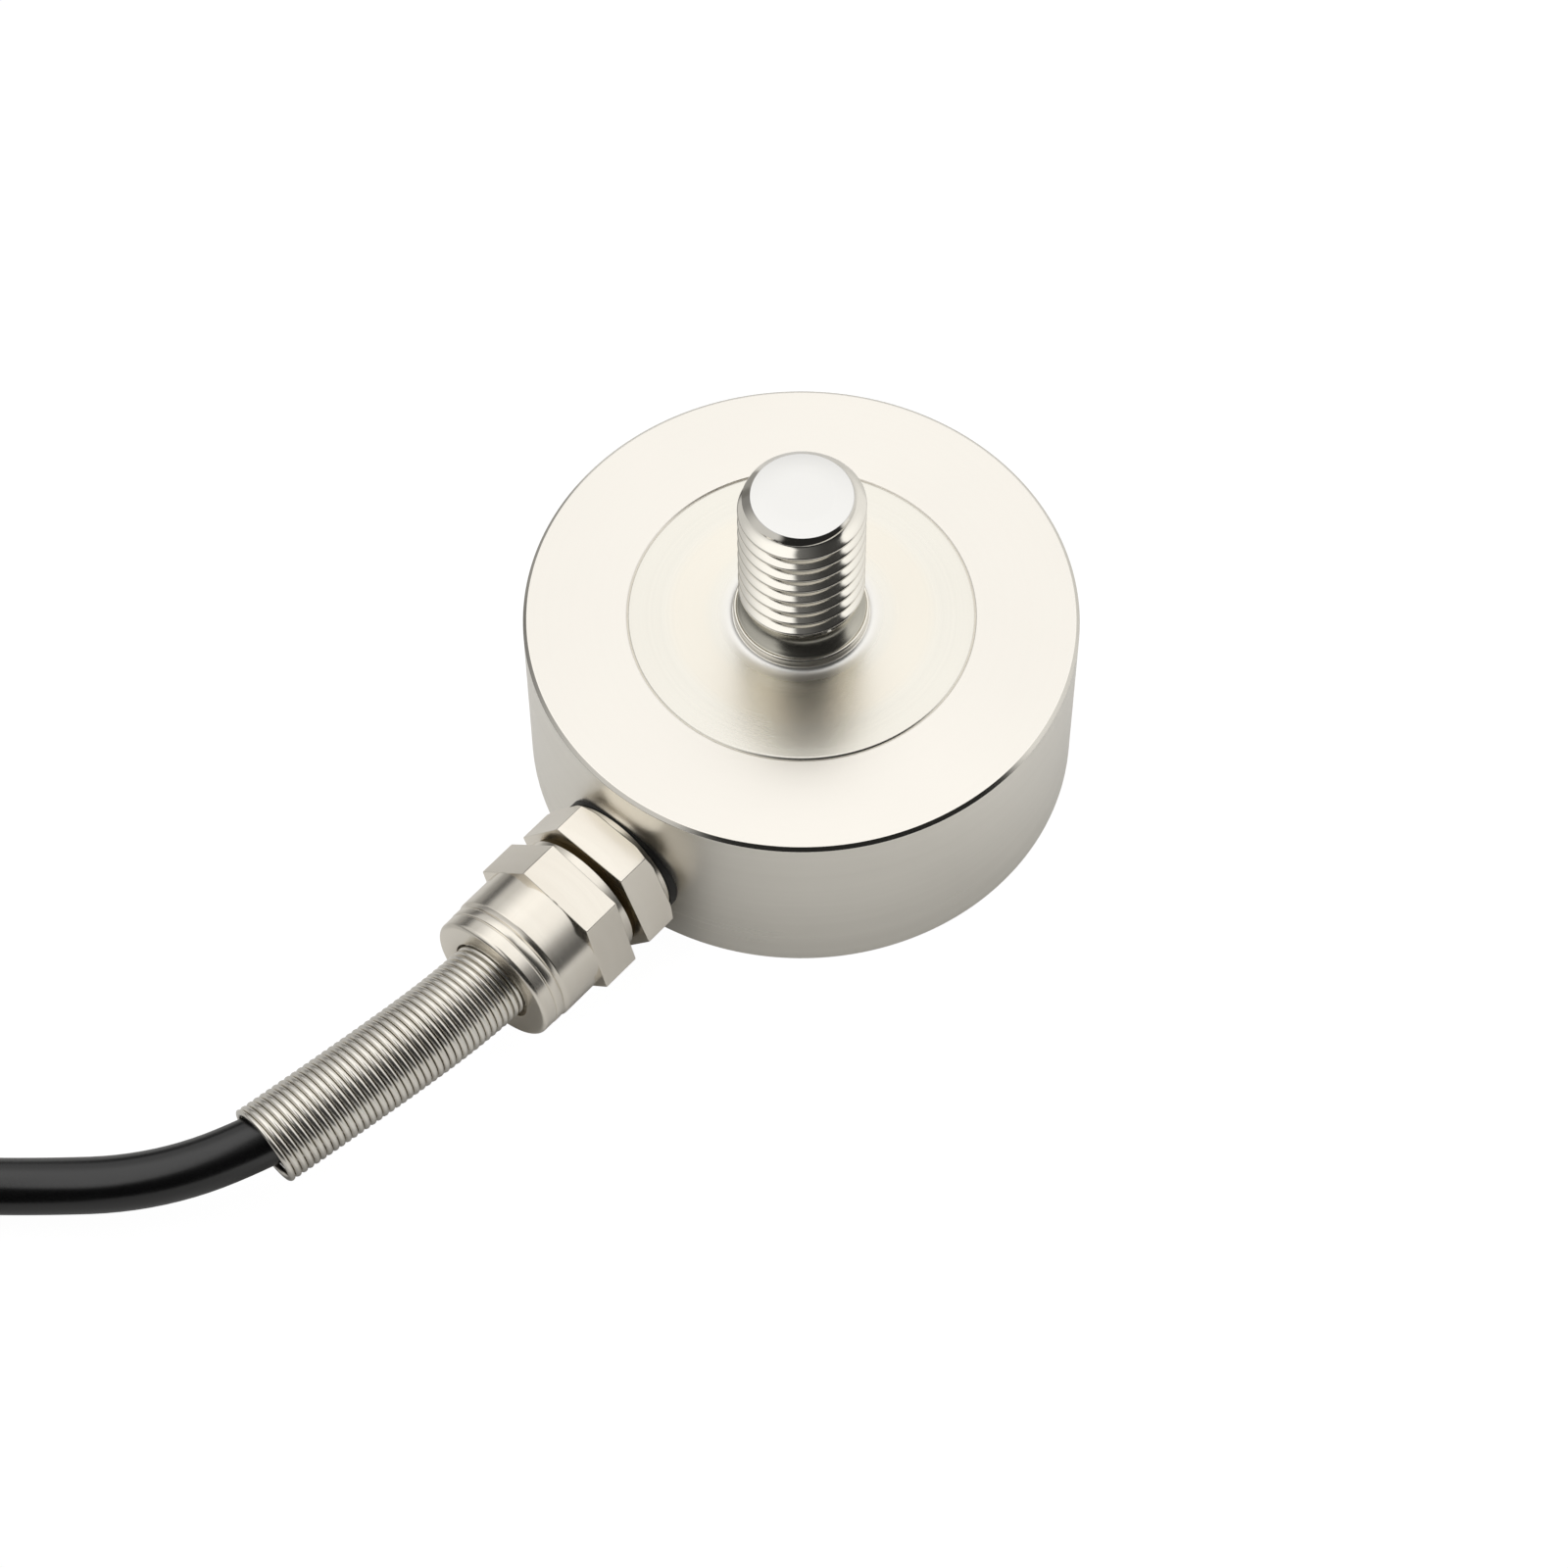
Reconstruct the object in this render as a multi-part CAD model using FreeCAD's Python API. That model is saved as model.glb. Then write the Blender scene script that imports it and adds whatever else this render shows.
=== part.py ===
import FreeCAD, Part
import math
import os

# Low round load cell with one threaded stud, a side cable gland with a spring
# guard, and a four-core cable. Millimetres, +Z up along the stud, origin at the
# centre of the base face, gland towards -X.

V = FreeCAD.Vector

# ---------------------------------------------------------------- dimensions
# body
BODY_D = 53.0            # outside diameter
BODY_H = 20.0            # height of the round body
TOP_CHAMFER = 0.34
BASE_CHAMFER = 0.25
SEAM_R = 16.56           # round seam on the top face
SEAM_V = 0.13            # half width of the seam's V groove
PLATE_T = 0.8            # top seal plate
WEB_LOW, WEB_HIGH = 13.6, 15.6      # measuring web
HUB_R = 6.5
HUB_LOW = 11.0
CAVITY_R = 17.2          # lower chamber
COVER_R = 18.6
COVER_T = 2.0
COVER_RECESS = 0.5
# stud, M12 x 1.75
STUD_R = 6.0
STUD_TOP = 39.0
STUD_DISC_R = 4.83       # flat disc on the stud's end
NECK_R = 4.95            # end of the thread, above the flare to the collar
FLARE_R = 6.08           # foot of the flare
COLLAR_R = 6.48
COLLAR_TOP = 21.37
# base holes, M4 blind
BASE_PCD = 44.0
BASE_HOLE_R = 2.0
BASE_HOLE_DEPTH = 8.0
# gland, on an axis along -X
GLAND_Z = 8.03
PORT_R = 5.0             # M10 x 1 thread into the wall
HEX_AF = 14.0
HEX1_TURN = 5.8          # degrees about the gland axis
HEX2_TURN = 14.25
GASKET_R = 6.7
WASHER_R = 6.6
WASHER_IN, WASHER_OUT = 26.6, 27.33
HEX1_OUT = 31.14
NUT_IN = 31.77
NUT_SHOULDER_R = 6.55    # round shoulder on the nut's inner side
NUT_HEX_IN, NUT_HEX_OUT = 32.85, 36.93
SLEEVE_R = 6.98
GROOVE1, GROOVE2 = 41.5, 42.65
NUT_OUT = 44.3
NUT_THREAD_R = 5.9
# spring guard
SPRING_R = 4.13
SPRING_WIRE = 0.60
# cable
CABLE_D = 5.3
CABLE_R = CABLE_D / 2
COIL_C = (-136.0, 23.0)
COIL_RHO = 27.15         # middle of the turns
COIL_LIFT = 0.6          # the coil lies on its tie
COIL_IN = COIL_RHO - CABLE_D
COIL_OUT = COIL_RHO + CABLE_D
COIL_TOP = COIL_LIFT + 5 * CABLE_D

# route of the free cable, from inside the gland to the coil's outer low turn
LEAD_ROUTE = [
    (-36.00, 0.00, 8.03),
    (-46.14, 0.00, 8.03),
    (-57.70, 1.59, 7.90),
    (-67.62, 3.79, 6.90),
    (-78.62, 10.04, 4.40),
    (-87.24, 20.56, 2.78),
    (-95.96, 31.52, 2.66),
    (-105.64, 42.72, 2.66),
    (-116.60, 49.70, 2.72),
    (-128.45, 53.27, 2.95),
    (-140.49, 53.04, 3.25),
]
SPRING_ROUTE = [
    (-39.60, 0.00, 8.03),
    (-46.14, 0.00, 8.03),
    (-57.70, 1.59, 7.90),
    (-70.38, 4.56, 6.52),
]

os.makedirs("parts", exist_ok=True)
SHAPES = {}


def keep(name, shape):
    SHAPES[name] = shape


# ---------------------------------------------------------------- helpers
class Profile:
    """Closed outline in the half plane (radius, height)."""

    def __init__(self, place, r, h):
        self.place = place
        self.edges = []
        self.first = self.last = (r, h)

    def to(self, r, h):
        self.edges.append(Part.LineSegment(self.place(*self.last), self.place(r, h)).toShape())
        self.last = (r, h)
        return self

    def arc(self, rm, hm, r, h):
        self.edges.append(Part.Arc(self.place(*self.last), self.place(rm, hm), self.place(r, h)).toShape())
        self.last = (r, h)
        return self

    def round(self, cr, ch, r, h):
        """Quarter arc about (cr, ch) to (r, h), on the side of the corner's middle."""
        a = (self.last[0] - cr, self.last[1] - ch)
        b = (r - cr, h - ch)
        m = (a[0] + b[0], a[1] + b[1])
        rad = math.hypot(*a)
        n = math.hypot(*m)
        return self.arc(cr + m[0] / n * rad, ch + m[1] / n * rad, r, h)

    def face(self):
        if self.last != self.first:
            self.to(*self.first)
        return Part.Face(Part.Wire(self.edges))


def on_z(r, h):
    return V(r, 0, h)


def on_gland(r, s):
    """r from the gland axis, s outward from the body's axis."""
    return V(-s, 0, GLAND_Z + r)


def spin_z(profile, angle=360.0, at=(0, 0)):
    f = profile.face()
    s = f.revolve(V(0, 0, 0), V(0, 0, 1), angle)
    if at != (0, 0):
        s.translate(V(at[0], at[1], 0))
    return s


def spin_gland(profile):
    return profile.face().revolve(V(0, 0, GLAND_Z), V(1, 0, 0), 360)


def gland_cyl(r, s0, s1):
    return Part.makeCylinder(r, s1 - s0, V(-s0, 0, GLAND_Z), V(-1, 0, 0))


def hexagon(af, turn, s0, s1):
    rc = af / math.sqrt(3)
    pts = []
    for k in range(6):
        a = math.radians(turn - 30 + 60 * k)
        pts.append(V(-s0, -rc * math.sin(a), GLAND_Z + rc * math.cos(a)))
    pts.append(pts[0])
    return Part.Face(Part.makePolygon(pts)).extrude(V(-(s1 - s0), 0, 0))


def path(points):
    """Straight runs joined by tangent arcs as large as their runs allow."""
    p = [V(*q) for q in points]
    edges, radii, length = [], [], 0.0
    here = p[0]
    for i in range(1, len(p) - 1):
        a, b = p[i] - p[i - 1], p[i + 1] - p[i]
        t = 0.45 * min(a.Length, b.Length)
        turn = a.getAngle(b)
        r = t / math.tan(turn / 2)
        u, w = V(a).normalize(), V(b).normalize()
        t0, t1 = p[i] - u * t, p[i] + w * t
        inward = (w - u).normalize()
        mid = p[i] + inward * (r / math.cos(turn / 2) - r)
        edges.append(Part.LineSegment(here, t0).toShape())
        edges.append(Part.Arc(t0, mid, t1).toShape())
        length += (t0 - here).Length + r * turn
        radii.append(round(r, 1))
        here = t1
    edges.append(Part.LineSegment(here, p[-1]).toShape())
    length += (p[-1] - here).Length
    return edges, radii, length


def tube(points, radius, name=None):
    edges, radii, length = path(points)
    first = edges[0]
    d = first.tangentAt(first.FirstParameter)
    ring = Part.Wire(Part.Circle(first.Vertexes[0].Point, d, radius).toShape())
    solid = Part.Wire(edges).makePipeShell([ring], True, False)
    if solid.ShapeType != "Solid":
        solid = Part.Solid(solid.Shells[0])
    if solid.Volume < 0:
        solid.reverse()
    want = math.pi * radius ** 2 * length
    if name:
        print("%s: length %.1f, radii %s, volume %.1f of %.1f" % (name, length, radii, solid.Volume, want))
    return solid


def ring_tube(rho, z, r, a0, a1):
    """Tube that follows the coil, from angle a0 to a1 in degrees."""
    c = Part.Face(Part.Wire(Part.Circle(V(rho, 0, z), V(0, 1, 0), r).toShape()))
    c.rotate(V(0, 0, 0), V(0, 0, 1), a0)
    s = c.revolve(V(0, 0, 0), V(0, 0, 1), a1 - a0)
    s.translate(V(COIL_C[0], COIL_C[1], 0))
    return s


# ---------------------------------------------------------------- body
R = BODY_D / 2
LEDGE = BODY_H - PLATE_T
COVER_TOP = COVER_RECESS + COVER_T
p = Profile(on_z, 0, HUB_LOW)
p.to(HUB_R - 0.5, HUB_LOW).to(HUB_R, HUB_LOW + 0.5).to(HUB_R, WEB_LOW - 1)
p.round(HUB_R + 1, WEB_LOW - 1, HUB_R + 1, WEB_LOW)
p.to(CAVITY_R - 1, WEB_LOW)
p.round(CAVITY_R - 1, WEB_LOW - 1, CAVITY_R, WEB_LOW - 1)
p.to(CAVITY_R, COVER_TOP).to(COVER_R, COVER_TOP).to(COVER_R, 0.25).to(COVER_R + 0.25, 0)
p.to(R - BASE_CHAMFER, 0).to(R, BASE_CHAMFER).to(R, BODY_H - TOP_CHAMFER).to(R - TOP_CHAMFER, BODY_H)
p.to(SEAM_R + SEAM_V, BODY_H).to(SEAM_R, BODY_H - SEAM_V).to(SEAM_R, LEDGE).to(SEAM_R - 0.96, LEDGE)
p.to(SEAM_R - 0.96, WEB_HIGH + 1)
p.round(SEAM_R - 1.96, WEB_HIGH + 1, SEAM_R - 1.96, WEB_HIGH)
p.to(9.0, WEB_HIGH)
p.round(9.0, WEB_HIGH + 1, 8.0, WEB_HIGH + 1)
p.to(8.0, LEDGE).to(COLLAR_R, LEDGE).to(COLLAR_R, COLLAR_TOP - 0.18).to(COLLAR_R - 0.18, COLLAR_TOP)
p.to(FLARE_R, COLLAR_TOP).to(NECK_R, 23.0)
p.to(NECK_R, 23.25).to(STUD_R, 24.3).to(STUD_R, STUD_TOP - (STUD_R - STUD_DISC_R)).to(STUD_DISC_R, STUD_TOP)
p.to(0, STUD_TOP)
body = spin_z(p)
body = body.cut(gland_cyl(PORT_R, CAVITY_R - 3, R + 2))
for k in range(4):
    a = math.radians(45 + 90 * k)
    x, y = BASE_PCD / 2 * math.cos(a), BASE_PCD / 2 * math.sin(a)
    hole = Part.makeCylinder(BASE_HOLE_R, BASE_HOLE_DEPTH, V(x, y, 0))
    tip = Part.makeCone(BASE_HOLE_R, 0, BASE_HOLE_R * 0.6, V(x, y, BASE_HOLE_DEPTH))
    mouth = Part.makeCone(BASE_HOLE_R + 0.3, BASE_HOLE_R, 0.3, V(x, y, 0))
    body = body.cut(hole.fuse([tip, mouth]))
keep("sensor_body", body)

# thin ring plate, welded at the seam and, with a small fillet, at the stud's shoulder
p = Profile(on_z, COLLAR_R, LEDGE)
p.to(SEAM_R, LEDGE).to(SEAM_R, BODY_H - SEAM_V).to(SEAM_R - SEAM_V, BODY_H).to(COLLAR_R + 0.7, BODY_H)
p.arc(COLLAR_R + 0.22, BODY_H + 0.12, COLLAR_R + 0.08, BODY_H + 0.32)
p.to(COLLAR_R, BODY_H + 0.32)
keep("top_seal_plate", spin_z(p))

# cover of the lower chamber, set back from the base face
p = Profile(on_z, 0, COVER_RECESS)
p.to(COVER_R - 0.3, COVER_RECESS).to(COVER_R, COVER_RECESS + 0.3).to(COVER_R, COVER_TOP).to(0, COVER_TOP)
keep("bottom_cover", spin_z(p))

# ---------------------------------------------------------------- bridge and board
GAUGE_R = 12.0
GAUGE_T = 0.12
gauges = []
for k in range(4):
    b = Part.makeBox(5.2, 3.6, GAUGE_T, V(-2.6, -1.8, WEB_LOW - GAUGE_T))
    b.translate(V(GAUGE_R, 0, 0))
    b.rotate(V(0, 0, 0), V(0, 0, 1), 45 + 90 * k)
    gauges.append(b)
keep("strain_gauges", Part.makeCompound(gauges))

PAD_T, BOARD_T = 0.8, 1.0
pad = Part.makeBox(17, 12, PAD_T, V(-6.5, -6, COVER_TOP))
keep("board_pad", pad)
board = Part.makeBox(21, 17, BOARD_T, V(-9, -8.5, COVER_TOP + PAD_T))
board = board.makeFillet(1.5, [e for e in board.Edges
                               if abs(e.Vertexes[0].X - e.Vertexes[-1].X) < 1e-6
                               and abs(e.Vertexes[0].Y - e.Vertexes[-1].Y) < 1e-6])
keep("terminal_board", board)
BOARD_TOP = COVER_TOP + PAD_T + BOARD_T

# chip resistors
chips = []
for x, y in ((0.5, -3.2), (0.5, 0.0), (0.5, 3.2)):
    c = Part.makeBox(3.2, 1.6, 0.7, V(x, y - 0.8, BOARD_TOP))
    chips.append(c)
keep("trim_resistors", Part.makeCompound(chips))

# the four cores, from the end of the jacket to the board
JACKET_END = 15.5
CORE_R = 0.55
CORES = {
    "red": (0.85, 0.85, 3.9),
    "green": (0.85, -0.85, 1.3),
    "white": (-0.85, -0.85, -1.3),
    "black": (-0.85, 0.85, -3.9),
}
wires = []
for colour, (dy, dz, ty) in CORES.items():
    w = tube([(-JACKET_END, dy, GLAND_Z + dz),
              (-13.0, dy, GLAND_Z + dz),
              (-9.0, ty, GLAND_Z - 1.3 + dz * 0.3),
              (-6.9, ty, BOARD_TOP + 0.75)], CORE_R)
    keep("wire_" + colour, w)
    wires.append(w)

# fine gauge wires, two from each gauge to its own pair of joints
fine, joints = [], []
for k in range(4):
    a = math.radians(45 + 90 * k)
    gx, gy = GAUGE_R * math.cos(a), GAUGE_R * math.sin(a)
    tx = 8.2 if gx > 0 else -5.6
    ty = 6.6 if gy > 0 else -6.6
    for d in (-1.0, 1.0):
        # sideways along the gauge's short edge
        p0 = V(gx - d * math.sin(a), gy + d * math.cos(a), WEB_LOW - GAUGE_T)
        p1 = V(tx + d * 1.1, ty, BOARD_TOP + 0.45)
        v = p1 - p0
        fine.append(Part.makeCylinder(0.15, v.Length, p0, v))
        joints.append((tx + d * 1.1, ty, 0.75))
# trim each wire flat at its gauge
under = Part.makeBox(60, 60, WEB_LOW - GAUGE_T, V(-30, -30, 0))
fine = [f.common(under) for f in fine]
keep("gauge_leads", Part.makeCompound(fine))
for colour, (dy, dz, ty) in CORES.items():
    joints.append((-6.9, ty, 1.15))
domes = []
for x, y, r in joints:
    s = Part.makeSphere(r, V(x, y, BOARD_TOP))
    s = s.common(Part.makeBox(4, 4, 4, V(x - 2, y - 2, BOARD_TOP)))
    s = s.cut(Part.makeCompound(wires + fine))
    domes.extend(s.Solids[:1] if len(s.Solids) == 1 else sorted(s.Solids, key=lambda q: -q.Volume)[:1])
keep("solder_terminals", Part.makeCompound(domes))

# ---------------------------------------------------------------- gland
# rubber ring squeezed between the washer and the round wall
ring = gland_cyl(GASKET_R, R - 3, WASHER_IN).cut(gland_cyl(PORT_R, R - 4, WASHER_IN + 1))
ring = ring.cut(Part.makeCylinder(R, 40, V(0, 0, -10)))
keep("gland_o_ring", ring)

p = Profile(on_gland, PORT_R, WASHER_IN)
p.to(WASHER_R - 0.15, WASHER_IN).to(WASHER_R, WASHER_IN + 0.15).to(WASHER_R, WASHER_OUT - 0.15)
p.to(WASHER_R - 0.15, WASHER_OUT).to(PORT_R, WASHER_OUT)
keep("gland_washer", spin_gland(p))

RC = HEX_AF / math.sqrt(3)
BORE_R = CABLE_R + 0.2
SEAT_IN, SPIGOT_OUT = 33.0, 36.5
SEAT_R = 4.6
hex1 = hexagon(HEX_AF, HEX1_TURN, WASHER_OUT, HEX1_OUT)
# small turned bevel on the side next to the body
p = Profile(on_gland, 0, WASHER_OUT)
p.to(RC - 0.63, WASHER_OUT).to(RC + 0.02, WASHER_OUT + 0.375).to(RC + 0.02, HEX1_OUT - 0.1).to(RC - 0.1, HEX1_OUT).to(0, HEX1_OUT)
hex1 = hex1.common(spin_gland(p))
p = Profile(on_gland, BORE_R, 20.5)
p.to(PORT_R - 0.5, 20.5).to(PORT_R, 21.0).to(PORT_R, WASHER_OUT).to(NUT_THREAD_R, WASHER_OUT)
p.to(NUT_THREAD_R, SPIGOT_OUT - 0.4).to(NUT_THREAD_R - 0.4, SPIGOT_OUT).to(SEAT_R, SPIGOT_OUT)
p.to(SEAT_R, SEAT_IN).to(BORE_R, SEAT_IN)
core = spin_gland(p)
hex1 = hex1.cut(gland_cyl(BORE_R, WASHER_OUT - 1, HEX1_OUT + 1))
keep("gland_body", hex1.fuse(core).removeSplitter())

p = Profile(on_gland, CABLE_R, SEAT_IN)
p.to(SEAT_R, SEAT_IN).to(SEAT_R, SPIGOT_OUT).to(SEAT_R - 0.3, 37.5).to(CABLE_R, 37.5)
keep("gland_seal_insert", spin_gland(p))

p = Profile(on_gland, CABLE_R + 0.25, 37.5)
p.to(NUT_THREAD_R - 0.1, 37.5).to(NUT_THREAD_R - 0.1, 38.3).to(CABLE_R + 0.25, 38.3)
keep("gland_clamp_ring", spin_gland(p))

# nut: round shoulder, hexagon, sleeve with a wide and a fine groove, end collar
RELIEF_R = 4.42
hex2 = hexagon(HEX_AF, HEX2_TURN, NUT_HEX_IN, NUT_HEX_OUT)
p = Profile(on_gland, 0, NUT_IN)
p.to(NUT_SHOULDER_R - 0.05, NUT_IN).to(NUT_SHOULDER_R, NUT_IN + 0.05).to(NUT_SHOULDER_R, NUT_HEX_IN + 0.5)
p.to(SLEEVE_R, NUT_HEX_IN + 0.5)
p.to(SLEEVE_R, GROOVE1 - 0.35).to(SLEEVE_R - 0.33, GROOVE1 - 0.02).to(SLEEVE_R - 0.33, GROOVE1 + 0.04).to(SLEEVE_R - 0.12, GROOVE1 + 0.35)
p.to(SLEEVE_R - 0.12, GROOVE2 - 0.1).to(SLEEVE_R - 0.24, GROOVE2 - 0.02).to(SLEEVE_R - 0.24, GROOVE2 + 0.04).to(SLEEVE_R - 0.16, GROOVE2 + 0.12)
p.to(SLEEVE_R - 0.16, NUT_OUT - 0.42)
p.round(SLEEVE_R - 0.58, NUT_OUT - 0.42, SLEEVE_R - 0.58, NUT_OUT)
p.to(0, NUT_OUT)
nut = hex2.fuse(spin_gland(p))
p = Profile(on_gland, 0, NUT_IN - 0.5)
p.to(NUT_THREAD_R + 0.3, NUT_IN - 0.5).to(NUT_THREAD_R + 0.3, NUT_IN).to(NUT_THREAD_R, NUT_IN + 0.3).to(NUT_THREAD_R, 38.3)
p.to(CABLE_R + 0.35, 38.3).to(CABLE_R + 0.35, 39.5).to(SPRING_R + 0.02, 39.5).to(SPRING_R + 0.02, 43.0)
p.to(RELIEF_R, 43.0).to(RELIEF_R, NUT_OUT + 0.5).to(0, NUT_OUT + 0.5)
nut = nut.cut(spin_gland(p)).removeSplitter()
keep("gland_nut", nut)

# ---------------------------------------------------------------- spring guard and cable
outer = tube(SPRING_ROUTE, SPRING_R, "spring guard outside")
inner = tube(SPRING_ROUTE, SPRING_R - SPRING_WIRE, "spring guard inside")
keep("spring_guard", outer.cut(inner))

keep("cable_inner_end", gland_cyl(CABLE_R, JACKET_END, 36.0))
lead = tube(LEAD_ROUTE, CABLE_R, "cable lead")
keep("cable_lead", lead)

# put-away length: neat turns, two wide and five high, less the pocket where the
# stripped end lies on the inner side of the top layer
END_A0, END_A1 = 344.5, 422.5        # degrees about the coil's centre
cr = CABLE_R - 0.05
p = Profile(on_z, COIL_IN + cr, COIL_LIFT)
p.to(COIL_OUT - cr, COIL_LIFT).round(COIL_OUT - cr, COIL_LIFT + cr, COIL_OUT, COIL_LIFT + cr)
p.to(COIL_OUT, COIL_TOP - cr).round(COIL_OUT - cr, COIL_TOP - cr, COIL_OUT - cr, COIL_TOP)
p.to(COIL_IN + cr, COIL_TOP).round(COIL_IN + cr, COIL_TOP - cr, COIL_IN, COIL_TOP - cr)
p.to(COIL_IN, COIL_LIFT + cr).round(COIL_IN + cr, COIL_LIFT + cr, COIL_IN + cr, COIL_LIFT)
coil = spin_z(p, at=COIL_C)
p = Profile(on_z, COIL_IN - 1, COIL_TOP - CABLE_D)
p.to(COIL_IN + CABLE_D, COIL_TOP - CABLE_D).to(COIL_IN + CABLE_D, COIL_TOP + 1).to(COIL_IN - 1, COIL_TOP + 1)
pocket = spin_z(p, END_A1 - END_A0)
pocket.rotate(V(0, 0, 0), V(0, 0, 1), END_A0)
pocket.translate(V(COIL_C[0], COIL_C[1], 0))
coil = coil.cut(pocket).cut(lead)
keep("cable_coil", sorted(coil.Solids, key=lambda s: -s.Volume)[0])

# tie: a band round the section of the turns, with its head on the outside
TIE_T, TIE_A0, TIE_A1 = 0.9, 258.6, 265.6
HEAD_LOW, HEAD_HIGH = 11.4, 16.2
o = cr + TIE_T
p = Profile(on_z, COIL_IN - TIE_T, 0)
p.to(COIL_OUT + TIE_T, 0).to(COIL_OUT + TIE_T, COIL_TOP - cr)
p.round(COIL_OUT - cr, COIL_TOP - cr, COIL_OUT - cr, COIL_TOP + TIE_T)
p.to(COIL_IN + cr, COIL_TOP + TIE_T).round(COIL_IN + cr, COIL_TOP - cr, COIL_IN - TIE_T, COIL_TOP - cr)
band = spin_z(p, TIE_A1 - TIE_A0)
band.rotate(V(0, 0, 0), V(0, 0, 1), TIE_A0)
p = Profile(on_z, COIL_OUT + TIE_T - 0.3, HEAD_LOW)
p.to(COIL_OUT + TIE_T + 3.4, HEAD_LOW).to(COIL_OUT + TIE_T + 3.4, HEAD_HIGH).to(COIL_OUT + TIE_T - 0.3, HEAD_HIGH)
head = spin_z(p, TIE_A1 - TIE_A0 + 1.6)
head.rotate(V(0, 0, 0), V(0, 0, 1), TIE_A0 - 0.8)
tie = band.fuse(head)
tie.translate(V(COIL_C[0], COIL_C[1], 0))
keep("cable_tie", tie.cut(coil).removeSplitter())

# stripped end: sleeve, four cores with tinned tips, drain wire
END_RHO, END_Z = COIL_RHO - CABLE_R, COIL_TOP - CABLE_R
SLEEVE_A = END_A0 + 19.0
keep("end_sleeve", ring_tube(END_RHO, END_Z, CABLE_R - 0.12, END_A0, SLEEVE_A))
TIP_R = 0.32
tips = []
for colour, (dr, dz, turn) in {"red": (0.85, 0.85, 64.0), "green": (0.85, -0.85, 60.0),
                               "white": (-0.85, -0.85, 62.0), "black": (-0.85, 0.85, 66.0)}.items():
    end = END_A0 + turn
    keep("lead_" + colour, ring_tube(END_RHO + dr, END_Z + dz, CORE_R, SLEEVE_A, end))
    tips.append(ring_tube(END_RHO + dr, END_Z + dz, TIP_R, end, end + 9.0))
keep("lead_tips", Part.makeCompound(tips))
keep("lead_drain", ring_tube(END_RHO, END_Z, 0.4, SLEEVE_A, END_A0 + 70.0))

# ---------------------------------------------------------------- out
for name, shape in SHAPES.items():
    ok = shape.isValid()
    n = len(shape.Solids)
    if not ok or n == 0:
        print("CHECK", name, "valid", ok, "solids", n)
    if n == 1 and shape.ShapeType != "Solid":
        shape = shape.Solids[0]
    shape.exportStep("parts/%s.step" % name)
print("nodes", len(SHAPES))
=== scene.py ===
import math

import bmesh
import bpy
import numpy as np
from mathutils import Matrix, Vector


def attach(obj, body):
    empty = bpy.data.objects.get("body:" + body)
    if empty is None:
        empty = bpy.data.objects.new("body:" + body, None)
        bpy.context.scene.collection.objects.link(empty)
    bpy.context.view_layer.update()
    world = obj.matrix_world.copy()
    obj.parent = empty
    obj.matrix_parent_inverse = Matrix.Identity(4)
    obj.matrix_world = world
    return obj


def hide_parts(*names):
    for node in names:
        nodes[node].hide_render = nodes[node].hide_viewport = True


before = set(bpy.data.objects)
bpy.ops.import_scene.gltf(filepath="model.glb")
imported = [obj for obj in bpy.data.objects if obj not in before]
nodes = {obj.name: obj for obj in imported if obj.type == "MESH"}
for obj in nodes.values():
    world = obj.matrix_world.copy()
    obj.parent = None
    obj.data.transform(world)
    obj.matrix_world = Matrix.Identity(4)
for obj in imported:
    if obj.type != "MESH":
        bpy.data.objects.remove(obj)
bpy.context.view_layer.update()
scene = bpy.context.scene
MM = 0.001

# ------------------------------------------------------------------ camera
AZ, EL = math.radians(-49.0788), math.radians(57.8254)
BACK = Vector((math.sin(AZ) * math.cos(EL), -math.cos(AZ) * math.cos(EL), math.sin(EL)))
RIGHT = Vector((math.cos(AZ), math.sin(AZ), 0.0))
UP = BACK.cross(RIGHT)
camera = bpy.data.objects.new("camera", bpy.data.cameras.new("camera"))
scene.collection.objects.link(camera)
camera.data.sensor_fit = "HORIZONTAL"
camera.data.sensor_width = 36.0
camera.data.lens = 108.1276
camera.data.clip_start, camera.data.clip_end = 0.01, 20.0
rot = Matrix((RIGHT, UP, BACK)).transposed()
camera.matrix_world = Matrix.Translation(Vector((-191.783, -164.068, 390.546)) * MM) @ rot.to_4x4()
scene.camera = camera

# ------------------------------------------------------------------ cable
CABLE_D = 5.3
GLAND_Z = 8.03
LEAD_ROUTE = [
    (-36.00, 0.00, 8.03),
    (-46.14, 0.00, 8.03),
    (-57.70, 1.59, 7.90),
    (-67.62, 3.79, 6.90),
    (-78.62, 10.04, 4.40),
    (-87.24, 20.56, 2.78),
    (-95.96, 31.52, 2.66),
    (-105.64, 42.72, 2.66),
    (-116.60, 49.70, 2.72),
    (-128.45, 53.27, 2.95),
    (-140.49, 53.04, 3.25),
]
COIL_C = (-136.0, 23.0)
IN, OUT, LOW = 24.5, 29.8, 3.25
COIL_START, COIL_TURN, COIL_LAST = 98.5, 22.5, 3126.0     # degrees, counter-clockwise


def turn_at(t):
    """Radius and height of the coil's line t degrees on: two turns wide, five high."""
    rho, z = OUT, LOW
    for k in range(9):
        f = min(1.0, max(0.0, (t - 252.0 - 324.0 * k) / 108.0))
        f = f * f * (3 - 2 * f)
        if k % 2:
            z += CABLE_D * f
        else:
            rho += (IN - OUT if k % 4 == 0 else OUT - IN) * f
    return rho, z


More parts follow.
